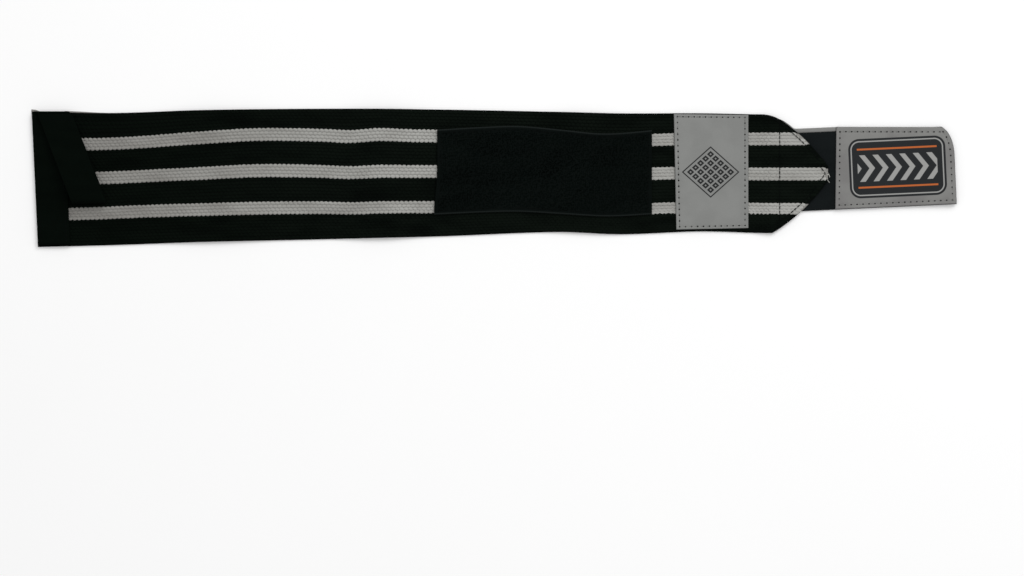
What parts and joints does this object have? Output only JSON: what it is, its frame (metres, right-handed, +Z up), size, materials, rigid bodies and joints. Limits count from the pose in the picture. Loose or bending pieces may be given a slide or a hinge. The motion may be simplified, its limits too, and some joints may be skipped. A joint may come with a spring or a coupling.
{
  "type": "wrist wrap",
  "caption": "Elastic wrist wrap lying flat and open: striped webbing band with a folded thumb loop, a pile patch, a leather label and a leather-backed hook closure tab.",
  "frame": {"origin": "on the floor, under the middle of the whole wrap's bounding box", "axes": "+X along the band from the thumb loop's end to the closure tab, +Y across the band towards the edge over which the thumb loop folds, +Z up out of the front face"},
  "size_m": [0.5924, 0.0884, 0.0111],
  "materials": {
    "band_webbing": "knitted elastic webbing, near black, with pale grey-white woven stripes along it",
    "loop_tape": "matte black woven cotton tape",
    "pile_cloth": "black brushed loop pile with a woven selvedge",
    "label_leather": "smooth pale grey synthetic leather with a fine grain and a sewn edge",
    "hook_tape": "dark navy woven backing with black hooks on its underside",
    "cover_leather": "smooth pale grey synthetic leather with a fine grain and a sewn edge"
  },
  "bodies": {
    "root": {"elastic_band": "band_webbing", "thumb_loop": "loop_tape", "loop_patch": "pile_cloth", "label_patch": "label_leather", "hook_tab": "hook_tape", "tab_patch": "cover_leather"}
  },
  "joints": []
}
